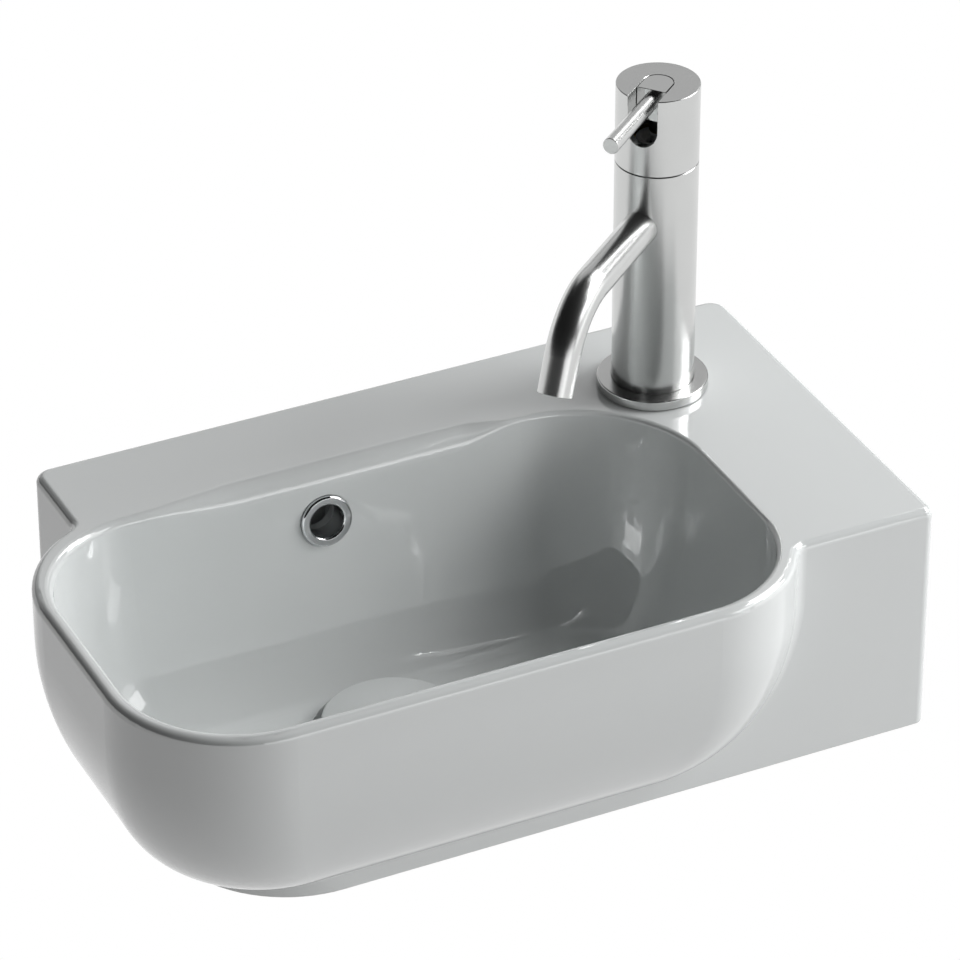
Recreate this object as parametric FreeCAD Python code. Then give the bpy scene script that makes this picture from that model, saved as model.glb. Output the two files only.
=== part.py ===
# Wall-hung basin: a glazed ceramic bowl in a slab with a tap ledge, a pin-lever mixer tap,
# an overflow ring and a push-open waste with a ceramic cap.
# Millimetres.  +X is right, +Y goes to the wall and +Z is up.
# The origin lies midway between the two wall-fixing holes, on the back face.
import FreeCAD, Part
import math
import os
from FreeCAD import Matrix, Vector

# General values
overrun = 10.0
same = 0.001
thread_gap = 0.1
seat_gap = 0.05
running_gap = 0.08
moving_gap = 0.3
full_turn = 360.0
quarter_turn = 90.0

# Slab: the box with the ledge, against the wall
slab_width = 367.2
slab_depth = 215.5
basin_height = 121.5
slab_left_corner = 62.0
slab_right_corner = 5.0
slab_back_corner = 9.0
foot_round = 1.5
fixing_drop = 46.0
fixing_spacing = 220.0
fixing_hole_radius = 7.0

# Bowl outside: it hangs over the slab's left end and front
overhang_left = 39.8
overhang_front = 35.0
ledge_width = 66.0
bowl_back = 48.0
bowl_corner = 65.0
bowl_corner_fade = 0.36
bowl_foot_drop = 4.3
bowl_side_straight = 28.0
bowl_side_curve = 54.0
bowl_side_steps = 12
upright_blend = 8.0
under_blend = 3.0
rim_outer_round = 4.0

# Bowl inside
rim_width = 8.5
ledge_rim_width = 10.0
back_rim_width = 12.0
rim_inner_round = 3.8
inner_rear_right_corner = 63.0
bowl_floor = 18.0
inner_curve = 46.0
ledge_edge_round = 2.2
back_roll = 10.0
back_roll_left_run = 56.0
back_roll_right_run = 30.0

# Hollow under the slab
slab_wall = 9.0
back_wall = 12.0
ledge_thickness = 13.0
hollow_corner = 12.0

# Overflow: hole, duct behind the bowl and chrome ring
drain_from_left = 153.9
overflow_drop = 27.3
overflow_shift = 1.8
overflow_hole_radius = 11.0
overflow_seat_depth = 0.6
overflow_flange_lap = 2.0
overflow_flange_height = 3.0
overflow_flange_round = 1.4
overflow_sleeve_gap = 0.6
overflow_sleeve_wall = 1.9
overflow_sleeve_length = 9.6
overflow_grip_drop = 5.0
overflow_grip_height = 2.0
duct_width = 28.0
duct_depth = 10.0
duct_wall = 4.5
duct_floor_height = 5.5
duct_lump_reach = 46.0

# Waste, measured from the bowl's floor
waste_from_wall = 139.5
waste_hole_radius = 23.0
waste_recess_gap = 5.0
waste_recess_depth = 5.5
waste_recess_round = 2.0
waste_flange_lap = 10.0
waste_flange_height = 2.0
waste_flange_round = 0.8
waste_seal_height = 1.0
waste_seal_width = 8.5
waste_shank_gap = 1.5
waste_shank_wall = 2.7
waste_mouth_flare = 2.8
waste_mouth_depth = 5.0
waste_tail_length = 15.0
waste_tail_step = 0.6
waste_window_width = 14.0
waste_lower_seal_height = 5.0
waste_lower_seal_width = 9.0
waste_lower_seal_cone = 3.0
waste_washer_height = 1.5
waste_nut_height = 8.5
waste_nut_wall = 5.0
nut_bevel = 0.8
spider_window_gap = 4.0
spider_height = 6.0
spider_hub_wall = 2.7
spider_arm_width = 4.0
spider_arm_count = 3

# Push-open unit inside the waste
click_radius = 8.0
click_wall = 1.7
click_top_drop = 6.0
click_below_spider = 13.0
click_floor = 3.0
click_flange_lap = 3.5
click_flange_height = 3.0
click_collar_height = 3.0
click_nut_height = 5.0
click_nut_wall = 3.9
click_rod_radius = 4.0
click_piston_height = 3.0
click_thread_step = 1.0
click_spring_gap = 1.7
click_spring_wire = 1.0

# Waste plug with its ceramic cap, raised
plug_travel = 4.5
cap_radius = 34.0
cap_edge_height = 4.0
cap_edge_round = 1.8
cap_dome_rise = 4.2
cap_pocket_radius = 9.0
cap_pocket_depth = 4.0
plug_seal_inset = 2.5
plug_seal_height = 1.0
plug_neck_step = 3.0
plug_foot_gap = 1.2
plug_foot_height = 2.0

# Tap, measured from the ledge along the tap's own axis, with the spout along +X
tap_from_right = 67.2
tap_from_wall = 57.9
tap_turn = 219.5
tap_radius = 20.0
tap_seam = 124.1
tap_seam_gap = 0.3
tap_edge_round = 0.5
tap_seam_bevel = 0.25
slot_bevel = 0.2
tap_spigot_step = 3.3
tap_spigot_gap = 0.8
tap_spigot_drop = 5.0
base_gasket_height = 0.6
base_gasket_inset = 0.7
base_ring_lap = 7.0
base_ring_top = 5.36
base_ring_round = 0.8
base_ring_web = 2.4
base_ring_gap = 0.25

# Waterways in the tap body
chamber_depth = 20.1
chamber_gap = 0.4
inlet_back = 1.0
inlet_thread_radius = 4.5
inlet_thread_depth = 14.0
inlet_bore_radius = 3.0
inlet_edge = 1.1
outlet_bore_radius = 3.0
outlet_edge = 1.5
spout_bore_radius = 4.0

# Spout
spout_radius = 8.5
spout_wall = 1.5
spout_below_chamber = 8.0
spout_socket_depth = 6.5
spout_straight = 75.0
spout_bend_radius = 38.1
spout_bend_angle = 63.3
spout_tail = 18.5
spout_end_round = 0.4
aerator_length = 11.0
aerator_wall = 1.2
aerator_screen_height = 1.6
aerator_screen_drop = 2.0
aerator_seal_height = 1.5

# Cartridge, stacked up from the chamber's floor
port_seal_lap = 1.0
port_seal_width = 0.8
port_seal_height = 1.3
disc_height = 3.3
disc_gap = 0.1
slider_inset = 4.1
slider_disc_height = 2.3
carrier_height = 4.4
carrier_floor = 1.2
carrier_gap = 0.4
cartridge_wall = 1.2
cartridge_foot_gap = 0.4
cartridge_roof = 2.2
cartridge_neck_step = 2.3
cartridge_neck_wall = 2.0
cartridge_neck_rise = 4.6
cartridge_head = 7.0
cartridge_mouth_flare = 1.55
cartridge_mouth_depth = 2.6
nut_gap = 1.0
nut_lap = 2.5
nut_rise = 6.9
glide_groove_depth = 0.6
glide_rise = 1.9
glide_height = 3.4
pivot_rise = 13.0
ball_radius = 5.5
ball_gap = 0.35
finger_radius = 1.9
finger_tip_radius = 2.4
finger_tip_gap = 0.4
finger_lean = 10.0

# Control cap, lever hub and pin
cap_height = 40.4
cap_wall = 4.0
cap_roof = 17.0
slot_width = 15.0
slot_depth = 24.5
hub_front = 8.2
hub_bottom_gap = 0.7
hub_socket_roof = 2.8
stem_radius = 4.0
pin_radius = 4.0
pin_drop = 6.1
pin_reach = 56.0
pin_root_step = 1.5
pin_end_round = 0.4

# Fixing under the ledge
stud_inset = 5.7
stud_radius = 3.0
stud_depth = 14.0
stud_below_nut = 12.0
clamp_lap = 6.5
clamp_rubber_height = 3.0
clamp_plate_height = 3.0
clamp_front = 9.0
clamp_slot_width = 28.0
clamp_hole_gap = 0.4
clamp_web = 1.6
stud_nut_flats = 11.0
stud_nut_height = 14.0

# Places that follow from the sizes of the basin
half_slab = slab_width / 2
rim_z = fixing_drop
foot_z = rim_z - basin_height
bowl_left = -half_slab - overhang_left
bowl_right = half_slab - ledge_width
bowl_front = -slab_depth - overhang_front
bowl_depth = basin_height - bowl_foot_drop
inner_left = bowl_left + rim_width
inner_right = bowl_right - ledge_rim_width
inner_front = bowl_front + rim_width
inner_back = bowl_back + back_rim_width
inner_depth = bowl_depth - bowl_floor
inner_corner = bowl_corner - rim_width
floor_z = rim_z - inner_depth
roll_start_x = inner_left + inner_corner + back_roll_left_run
roll_end_x = inner_right - inner_rear_right_corner - back_roll_right_run
drain_x = inner_left + drain_from_left
tap_x = half_slab - tap_from_right

# Sizes and heights that follow in the overflow and the waste
overflow_flange_radius = overflow_hole_radius + overflow_flange_lap
overflow_sleeve_radius = overflow_hole_radius - overflow_sleeve_gap
overflow_bore_radius = overflow_sleeve_radius - overflow_sleeve_wall
waste_recess_radius = cap_radius + waste_recess_gap
waste_flange_radius = waste_hole_radius + waste_flange_lap
waste_shank_radius = waste_hole_radius - waste_shank_gap
waste_bore_radius = waste_shank_radius - waste_shank_wall
waste_thread_bore = waste_shank_radius + thread_gap
waste_lower_seal_radius = waste_thread_bore + waste_lower_seal_width
waste_flange_bottom = -waste_recess_depth + waste_seal_height
waste_flange_top = waste_flange_bottom + waste_flange_height
waste_washer_top = -bowl_floor - waste_lower_seal_height
waste_nut_top = waste_washer_top - waste_washer_height
waste_nut_bottom = waste_nut_top - waste_nut_height
waste_tail = waste_nut_bottom - waste_tail_length
window_bottom = -bowl_floor + duct_wall
spider_top = window_bottom - spider_window_gap
spider_bottom = spider_top - spider_height
click_bore = click_radius - click_wall
click_top = -click_top_drop
click_bottom = spider_bottom - click_below_spider
click_spring_radius = click_bore - click_spring_gap
click_thread_radius = click_rod_radius - click_thread_step
collar_bottom = click_top - click_collar_height
piston_bottom = collar_bottom - moving_gap - click_piston_height
plug_foot_radius = waste_bore_radius - plug_foot_gap
plug_neck_radius = plug_foot_radius - plug_neck_step
plug_bottom = waste_flange_top + moving_gap + plug_travel
plug_foot = plug_bottom - plug_foot_height
cap_bottom = plug_bottom + plug_seal_height

# Sizes and heights that follow in the tap
tap_height = tap_seam + cap_height
tap_spigot_radius = tap_radius - tap_spigot_step
tap_hole_radius = tap_spigot_radius + tap_spigot_gap
base_ring_radius = tap_radius + base_ring_lap
body_foot = base_gasket_height + base_ring_web
cap_bore_radius = tap_radius - cap_wall
nut_radius = cap_bore_radius - nut_gap
cartridge_radius = nut_radius - nut_lap
cartridge_neck_radius = cartridge_radius - cartridge_neck_step
disc_radius = cartridge_radius - cartridge_wall
chamber_radius = cartridge_radius + chamber_gap
chamber_floor = tap_seam - chamber_depth
inlet_side = disc_radius - inlet_bore_radius - inlet_edge
outlet_front = disc_radius - outlet_bore_radius - outlet_edge
spout_axis = chamber_floor - spout_below_chamber
spout_root = tap_radius - spout_socket_depth
disc_bottom = chamber_floor + port_seal_height
slider_radius = disc_radius - slider_inset
slider_bottom = disc_bottom + disc_height + disc_gap
carrier_bottom = slider_bottom + slider_disc_height
carrier_top = carrier_bottom + carrier_height
cartridge_shoulder = carrier_top + carrier_gap + cartridge_roof
pivot_height = cartridge_shoulder + pivot_rise
cartridge_neck_top = pivot_height + cartridge_neck_rise
nut_top = tap_seam + nut_rise
glide_bottom = tap_seam + glide_rise
finger_length = pivot_height - carrier_bottom - carrier_floor - finger_tip_gap - finger_tip_radius
slider_front = finger_length * math.sin(math.radians(finger_lean))
pin_axis = tap_height - pin_drop
pin_root_radius = pin_radius - pin_root_step
stud_back = tap_spigot_radius - stud_inset
clamp_top = -ledge_thickness - clamp_rubber_height
stud_nut_top = clamp_top - clamp_plate_height
stud_bottom = stud_nut_top - stud_nut_height - stud_below_nut


def box(x0, x1, y0, y1, z0, z1):
    return Part.makeBox(x1 - x0, y1 - y0, z1 - z0, Vector(x0, y0, z0))


def cylinder(radius, bottom, top, x=0, y=0):
    return Part.makeCylinder(radius, top - bottom, Vector(x, y, bottom))


def ring(outer, inner, bottom, top, x=0, y=0):
    return cylinder(outer, bottom, top, x, y).cut(cylinder(inner, bottom - overrun, top + overrun, x, y))


def rod_along_x(radius, start, end, z):
    return Part.makeCylinder(radius, end - start, Vector(start, 0, z), Vector(1, 0, 0))


def hexagon(flats, bottom, top, x=0):
    corner = flats / 2 / math.cos(math.pi / 6)
    turns = [math.pi / 3 * i for i in range(7)]
    points = [Vector(x + corner * math.cos(t), corner * math.sin(t), bottom) for t in turns]
    block = Part.Face(Part.makePolygon(points)).extrude(Vector(0, 0, top - bottom))
    turned = cylinder(corner, bottom, top, x)
    ends = [edge for edge in turned.Edges if edge.BoundBox.ZLength < same]
    return block.common(turned.makeChamfer(nut_bevel, ends))


def revolved(edges):
    """Turn a closed outline in the XZ plane about Z."""
    return Part.Face(Part.Wire(edges)).revolve(Vector(0, 0, 0), Vector(0, 0, 1), full_turn)


def point(radius, height):
    return Vector(radius, 0, height)


def line(a, b):
    return Part.makeLine(point(*a), point(*b))


def arc(a, b, c):
    return Part.Arc(point(*a), point(*b), point(*c)).toShape()


def outline(*corners):
    """Straight lines through the corners and back to the first."""
    ends = corners[1:] + corners[:1]
    return [line(a, b) for a, b in zip(corners, ends)]


def is_upright(edge):
    a = edge.Vertexes[0].Point
    b = edge.Vertexes[-1].Point
    return len(edge.Vertexes) == 2 and math.hypot(a.x - b.x, a.y - b.y) < same


def upright_edges(shape, x, y):
    """The upright edges of a box at one corner of its plan."""
    found = []
    for edge in shape.Edges:
        start = edge.Vertexes[0].Point
        if is_upright(edge) and math.hypot(start.x - x, start.y - y) < same:
            found.append(edge)
    return found


def level_edges(shape, z):
    return [edge for edge in shape.Edges if abs(edge.BoundBox.ZMin - z) < same and edge.BoundBox.ZLength < same]


def circles_of(shape, radius, z):
    """The round edges of one radius at one height."""
    return [edge for edge in level_edges(shape, z) if abs(edge.BoundBox.XLength / 2 - radius) < same]


def edge_points(edge):
    middle = edge.valueAt((edge.FirstParameter + edge.LastParameter) / 2)
    return edge.Vertexes[0].Point, middle, edge.Vertexes[-1].Point


def lies_on(points, surface):
    return all(surface.distToShape(Part.Vertex(p))[0] < same for p in points)


def rounded(shape, chosen, radius_at):
    """Fillet the chosen edges, with a radius that runs evenly between their ends."""
    picks = []
    for number, edge in enumerate(shape.Edges, 1):
        points = edge_points(edge)
        if chosen(points):
            picks.append((number, radius_at(points[0]), radius_at(points[-1])))
    document = FreeCAD.newDocument("rounding")
    base = document.addObject("Part::Feature", "base")
    base.Shape = shape
    fillet = document.addObject("Part::Fillet", "fillet")
    fillet.Base = base
    fillet.Edges = picks
    document.recompute()
    result = fillet.Shape.Solids[0]
    FreeCAD.closeDocument(document.Name)
    return result


def tub(x0, x1, y0, y1, corners, curve, depth):
    """A tub whose sides roll under in a quarter ellipse, from above the rim to its depth."""
    squash = curve / depth
    height = overrun * squash + curve
    form = box(x0, x1, y0, y1, -height, 0)
    for (x, y), radius in corners:
        form = form.makeFillet(radius, upright_edges(form, x, y))
    form = form.makeFillet(curve, level_edges(form, -height))
    stretch = Matrix()
    stretch.scale(1, 1, 1 / squash)
    form = form.transformGeometry(stretch)
    form.translate(Vector(0, 0, rim_z + overrun))
    return form


def bowl_plan(inset, z):
    """The bowl's outline at one height, moved in from the rim's; its corners tighten a little."""
    radius = bowl_corner - bowl_corner_fade * inset
    x0, x1 = bowl_left + inset + radius, bowl_right - inset - radius
    y0, y1 = bowl_front + inset + radius, -bowl_back - inset - radius
    arcs = [Part.makeCircle(radius, Vector(x, y, z), Vector(0, 0, 1), start, start + quarter_turn)
            for x, y, start in ((x0, y0, 2 * quarter_turn), (x1, y0, 3 * quarter_turn),
                                (x1, y1, 0), (x0, y1, quarter_turn))]
    edges = []
    for here, after in zip(arcs, arcs[1:] + arcs[:1]):
        edges += [here, Part.makeLine(here.Vertexes[-1].Point, after.Vertexes[0].Point)]
    return Part.Wire(edges)


def bowl_outside():
    """Upright walls that roll under, with corners that stay round all the way down."""
    bend_top = rim_z - bowl_side_straight
    plans = []
    for step in range(bowl_side_steps + 1):
        angle = math.pi / 2 * step / bowl_side_steps
        plans.append(bowl_plan(bowl_side_curve * (1 - math.cos(angle)),
                               bend_top - (bowl_depth - bowl_side_straight) * math.sin(angle)))
    walls = Part.Face(plans[0]).extrude(Vector(0, 0, bowl_side_straight + overrun))
    return walls.fuse(Part.makeLoft(plans, True, False)).Solids[0]


def bowl_inside():
    """The space of the bowl, parted along the back so that the roll of the back edge can grow and fade."""
    corners = [((inner_left, inner_front), inner_corner),
               ((inner_right, inner_front), inner_corner),
               ((inner_left, -inner_back), inner_corner),
               ((inner_right, -inner_back), inner_rear_right_corner)]
    form = tub(inner_left, inner_right, inner_front, -inner_back, corners, inner_curve, inner_depth)
    bounds = form.BoundBox
    cuts = [bounds.XMin, roll_start_x, roll_end_x, bounds.XMax]
    parts = []
    for x0, x1 in zip(cuts[:-1], cuts[1:]):
        parts.append(form.common(box(x0, x1, bounds.YMin, bounds.YMax, bounds.ZMin, bounds.ZMax)))
    return parts[0].fuse(parts[1:])


def slab_block():
    block = box(-half_slab, half_slab, -slab_depth, 0, foot_z, rim_z + overrun)
    block = block.makeFillet(slab_left_corner, upright_edges(block, -half_slab, -slab_depth))
    block = block.makeFillet(slab_right_corner, upright_edges(block, half_slab, -slab_depth))
    backs = upright_edges(block, half_slab, 0) + upright_edges(block, -half_slab, 0)
    block = block.makeFillet(slab_back_corner, backs)
    return block.makeFillet(foot_round, level_edges(block, foot_z))


def basin_outside(bowl):
    """Slab and bowl run into each other in a hollow blend, wide beside the ledge and narrow underneath."""
    slab = slab_block()
    size = basin_height + slab_width
    above = box(-size, size, -size, size, rim_z, rim_z + size)
    form = slab.fuse(bowl).cut(above).removeSplitter().Solids[0]
    slab_skin = slab.Shells[0]
    bowl_skin = bowl.Shells[0]

    def meeting_line(points):
        return lies_on(points, slab_skin) and lies_on(points, bowl_skin)

    def blend(place):
        beside_ledge = place.z > rim_z - bowl_side_straight - same
        return upright_blend if beside_ledge else under_blend

    form = rounded(form, meeting_line, blend)
    return form.makeFillet(rim_outer_round, level_edges(form, rim_z))


def rim_roll(form, inside):
    """Round the bowl's inner edge: full at the rim, crisp at the ledge and a soft roll at the back."""
    skin = inside.Shells[0]

    def inner_edge(points):
        return all(abs(p.z - rim_z) < same for p in points) and lies_on(points, skin)

    def radius(place):
        at_back = abs(place.y + inner_back) < same
        if at_back and roll_start_x - same < place.x < roll_end_x + same:
            return back_roll
        if place.x > roll_end_x and place.y > inner_front + same:
            return ledge_edge_round
        return rim_inner_round

    return rounded(form, inner_edge, radius)


def duct_space():
    """The way from the overflow hole down behind the bowl and forward to the waste hole."""
    half = duct_width / 2
    back = -bowl_back + duct_wall + duct_depth
    top = rim_z - overflow_drop + overflow_hole_radius
    bottom = rim_z - bowl_depth + duct_wall
    down = box(drain_x - half, drain_x + half, back - duct_depth, back, bottom, top)
    forward = box(drain_x - half, drain_x + half, -waste_from_wall, back, bottom, bottom + duct_floor_height)
    return down.fuse(forward)


def duct_lump():
    """The thickening of the ceramic round the duct, inside the hollow."""
    half = duct_width / 2 + duct_wall
    back = -bowl_back + duct_depth + 2 * duct_wall
    front = -bowl_back - duct_lump_reach
    return box(drain_x - half, drain_x + half, front, back, rim_z - bowl_depth, rim_z - ledge_thickness)


def underside_hollow(bowl):
    x0 = -half_slab + slab_wall
    x1 = half_slab - slab_wall
    y0 = -slab_depth + slab_wall
    hollow = box(x0, x1, y0, -back_wall, foot_z - overrun, rim_z - ledge_thickness)
    hollow = hollow.makeFillet(slab_left_corner - slab_wall, upright_edges(hollow, x0, y0))
    others = [edge for x, y in ((x1, y0), (x0, -back_wall), (x1, -back_wall))
              for edge in upright_edges(hollow, x, y)]
    hollow = hollow.makeFillet(hollow_corner, others)
    return hollow.cut(bowl).cut(duct_lump())


def overflow_slope():
    """How far the bowl's back wall has come forward at the overflow, and its lean there in degrees."""
    depth_share = overflow_drop / inner_depth
    root = math.sqrt(1 - depth_share ** 2)
    lean = math.degrees(math.atan(inner_curve / inner_depth * depth_share / root))
    return inner_curve * (1 - root), lean


def place_overflow(shape):
    """From an upright axis with its seat at zero to the seat in the bowl's back wall."""
    forward, lean = overflow_slope()
    shape.translate(Vector(0, 0, -overflow_seat_depth))
    shape.rotate(Vector(0, 0, 0), Vector(1, 0, 0), 90 - lean)
    shape.translate(Vector(drain_x + overflow_shift, -inner_back - forward, rim_z - overflow_drop))
    return shape


def overflow_cut():
    hole_end = inner_back - bowl_back + duct_depth
    hole = cylinder(overflow_hole_radius, -hole_end, 0)
    seat_radius = overflow_flange_radius + moving_gap
    return place_overflow(hole.fuse(cylinder(seat_radius, 0, overrun)))


def place_waste(shape):
    shape.translate(Vector(drain_x, -waste_from_wall, floor_z))
    return shape


def waste_cut():
    recess = cylinder(waste_recess_radius, -waste_recess_depth, overrun)
    recess = recess.makeFillet(waste_recess_round, circles_of(recess, waste_recess_radius, -waste_recess_depth))
    return place_waste(recess.fuse(cylinder(waste_hole_radius, -basin_height, 0)))


def place_tap(shape):
    shape.rotate(Vector(0, 0, 0), Vector(0, 0, 1), tap_turn)
    shape.translate(Vector(tap_x, -tap_from_wall, rim_z))
    return shape


def basin_body():
    """One fired piece: slab, bowl and overflow duct, open underneath."""
    bowl = bowl_outside()
    inside = bowl_inside()
    body = basin_outside(bowl).cut(inside).Solids[0]
    body = rim_roll(body, inside)
    body = body.cut(underside_hollow(bowl)).cut(duct_space()).cut(overflow_cut()).cut(waste_cut())
    body = body.cut(place_tap(cylinder(tap_hole_radius, -ledge_thickness - overrun, overrun)))
    for x in (-fixing_spacing / 2, fixing_spacing / 2):
        hole = Part.makeCylinder(fixing_hole_radius, back_wall + 2 * overrun,
                                 Vector(x, -back_wall - overrun, 0), Vector(0, 1, 0))
        body = body.cut(hole)
    return body


def overflow_ring():
    """Domed chrome flange with a sleeve that pushes into the ceramic."""
    flange = cylinder(overflow_flange_radius, 0, overflow_flange_height)
    flange = flange.makeFillet(overflow_flange_round,
                               circles_of(flange, overflow_flange_radius, overflow_flange_height))
    shape = flange.fuse(cylinder(overflow_sleeve_radius, -overflow_sleeve_length, 0))
    shape = shape.cut(cylinder(overflow_bore_radius, -overflow_sleeve_length - overrun, overrun))
    mouth = circles_of(shape, overflow_bore_radius, overflow_flange_height)
    return place_overflow(shape.makeFillet(overflow_flange_round, mouth))


def overflow_grip():
    """Rubber ring that holds the sleeve in its hole."""
    top = -overflow_grip_drop
    return place_overflow(ring(overflow_hole_radius - seat_gap, overflow_sleeve_radius + seat_gap,
                               top - overflow_grip_height, top))


def waste_body():
    """Chromed flange and shank with the spider that carries the push-open unit."""
    flange = cylinder(waste_flange_radius, waste_flange_bottom, waste_flange_top)
    flange = flange.makeFillet(waste_flange_round, circles_of(flange, waste_flange_radius, waste_flange_top))
    shape = flange.fuse(cylinder(waste_shank_radius, waste_nut_bottom, waste_flange_bottom))
    shape = shape.fuse(cylinder(waste_shank_radius - waste_tail_step, waste_tail, waste_nut_bottom))
    shape = shape.cut(cylinder(waste_bore_radius, waste_tail - overrun, overrun))
    shape = shape.cut(Part.makeCone(waste_bore_radius, waste_bore_radius + waste_mouth_flare, waste_mouth_depth,
                                    Vector(0, 0, waste_flange_top - waste_mouth_depth)))
    for window in overflow_windows():
        shape = shape.cut(window)
    return place_waste(shape.fuse(spider()))


def overflow_windows():
    """Two openings in the shank at the height of the overflow duct."""
    top = window_bottom + duct_floor_height
    half = waste_window_width / 2
    reach = waste_shank_radius + overrun
    return [box(-half, half, 0, reach, window_bottom, top), box(-half, half, -reach, 0, window_bottom, top)]


def spider():
    inner = click_radius + thread_gap
    outer = inner + spider_hub_wall
    shape = ring(outer, inner, spider_bottom, spider_top)
    for i in range(spider_arm_count):
        arm = box(outer - spider_hub_wall / 2, (waste_bore_radius + waste_shank_radius) / 2,
                  -spider_arm_width / 2, spider_arm_width / 2, spider_bottom, spider_top)
        arm.rotate(Vector(0, 0, 0), Vector(0, 0, 1), full_turn / spider_arm_count * i)
        shape = shape.fuse(arm)
    return shape


def waste_flange_seal():
    return place_waste(ring(waste_hole_radius + waste_seal_width, waste_hole_radius,
                            -waste_recess_depth, waste_flange_bottom))


def waste_lower_seal():
    """Rubber cone between the ceramic's underside and the washer."""
    cone_foot = waste_washer_top + waste_lower_seal_cone
    narrow = waste_lower_seal_radius - waste_lower_seal_cone
    return place_waste(revolved(outline((waste_thread_bore, waste_washer_top),
                                        (waste_lower_seal_radius, waste_washer_top),
                                        (waste_lower_seal_radius, cone_foot),
                                        (narrow, -bowl_floor), (waste_thread_bore, -bowl_floor))))


def waste_washer():
    return place_waste(ring(waste_lower_seal_radius, waste_thread_bore, waste_nut_top, waste_washer_top))


def waste_nut():
    flats = 2 * (waste_thread_bore + waste_nut_wall)
    nut = hexagon(flats, waste_nut_bottom, waste_nut_top)
    return place_waste(nut.cut(cylinder(waste_thread_bore, waste_tail, 0)))


def click_housing():
    """Tube of the push-open unit, hung in the spider by its flange."""
    shape = cylinder(click_radius, click_bottom, click_top)
    shape = shape.fuse(cylinder(click_radius + click_flange_lap, spider_top, spider_top + click_flange_height))
    return place_waste(shape.cut(cylinder(click_bore, click_bottom + click_floor, 0)))


def click_nut():
    inner = click_radius + thread_gap
    nut = hexagon(2 * (inner + click_nut_wall), spider_bottom - click_nut_height, spider_bottom)
    return place_waste(nut.cut(cylinder(inner, click_bottom, 0)))


def click_collar():
    """Bush at the top of the tube that guides the rod."""
    return place_waste(ring(click_bore - seat_gap, click_rod_radius + moving_gap, collar_bottom, click_top))


def click_stem():
    """Rod with its piston in the tube and a thread into the plug."""
    shape = cylinder(click_bore - moving_gap, piston_bottom, piston_bottom + click_piston_height)
    shape = shape.fuse(cylinder(click_rod_radius, piston_bottom, plug_foot))
    return place_waste(shape.fuse(cylinder(click_thread_radius, plug_foot, cap_bottom + cap_pocket_depth / 2)))


def click_spring():
    """Plain sleeve in the place of the hidden coil spring."""
    return place_waste(ring(click_spring_radius, click_spring_radius - click_spring_wire,
                            click_bottom + click_floor, piston_bottom))


def plug_carrier():
    """Holder between rod, seal and ceramic cap."""
    pocket_top = cap_bottom + cap_pocket_depth
    shape = cylinder(plug_foot_radius, plug_foot, plug_bottom)
    shape = shape.fuse(cylinder(plug_neck_radius, plug_bottom, cap_bottom))
    shape = shape.fuse(cylinder(cap_pocket_radius - seat_gap, cap_bottom, pocket_top))
    return place_waste(shape.cut(cylinder(click_thread_radius + seat_gap, plug_foot - overrun, pocket_top)))


def plug_seal():
    return place_waste(ring(waste_flange_radius - plug_seal_inset, plug_neck_radius + seat_gap,
                            plug_bottom, cap_bottom))


def waste_cap():
    """Glazed ceramic dome with a soft edge."""
    edge = cap_bottom + cap_edge_height
    top = edge + cap_dome_rise
    sphere_radius = (cap_radius ** 2 + cap_dome_rise ** 2) / 2 / cap_dome_rise
    middle = cap_radius / 2
    rise = math.sqrt(sphere_radius ** 2 - middle ** 2) - (sphere_radius - cap_dome_rise)
    dome = revolved([line((0, cap_bottom), (cap_radius, cap_bottom)),
                     line((cap_radius, cap_bottom), (cap_radius, edge)),
                     arc((cap_radius, edge), (middle, edge + rise), (0, top)),
                     line((0, top), (0, cap_bottom))])
    rims = circles_of(dome, cap_radius, cap_bottom) + circles_of(dome, cap_radius, edge)
    dome = dome.makeFillet(cap_edge_round, rims)
    pocket = cylinder(cap_pocket_radius, cap_bottom - overrun, cap_bottom + cap_pocket_depth + seat_gap)
    return place_waste(dome.cut(pocket))


def tap_base_gasket():
    return place_tap(ring(base_ring_radius - base_gasket_inset, tap_hole_radius, 0, base_gasket_height))


def tap_base_ring():
    """Rosette round the foot of the tap, clamped by it."""
    shape = cylinder(base_ring_radius, base_gasket_height, base_ring_top)
    shape = shape.makeFillet(base_ring_round, circles_of(shape, base_ring_radius, base_ring_top))
    shape = shape.cut(cylinder(tap_spigot_radius + moving_gap, -overrun, base_ring_top + overrun))
    return place_tap(shape.cut(cylinder(tap_radius + base_ring_gap, body_foot, base_ring_top + overrun)))


def tap_body():
    """Turned body with drilled waterways, the cartridge chamber and the socket for the spout."""
    shape = cylinder(tap_radius, body_foot, tap_seam)
    shape = shape.makeChamfer(tap_seam_bevel, circles_of(shape, tap_radius, tap_seam))
    shape = shape.fuse(cylinder(tap_spigot_radius, -tap_spigot_drop, body_foot))
    shape = shape.cut(cylinder(chamber_radius, chamber_floor, tap_seam + overrun))
    shape = shape.cut(cylinder(nut_radius + seat_gap, cartridge_shoulder - seat_gap, tap_seam + overrun))
    below = -tap_spigot_drop - overrun
    thread_top = -tap_spigot_drop + inlet_thread_depth
    for side in (-inlet_side, inlet_side):
        shape = shape.cut(cylinder(inlet_thread_radius, below, thread_top, -inlet_back, side))
        shape = shape.cut(cylinder(inlet_bore_radius, 0, chamber_floor + overrun, -inlet_back, side))
    shape = shape.cut(cylinder(outlet_bore_radius, spout_axis, chamber_floor + overrun, outlet_front))
    shape = shape.cut(rod_along_x(spout_bore_radius, outlet_front - outlet_bore_radius, tap_radius, spout_axis))
    shape = shape.cut(rod_along_x(spout_radius + seat_gap, spout_root, tap_radius + overrun, spout_axis))
    stud_top = -tap_spigot_drop + stud_depth
    shape = shape.cut(cylinder(stud_radius + seat_gap, below, stud_top, -stud_back))
    return place_tap(shape)


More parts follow.
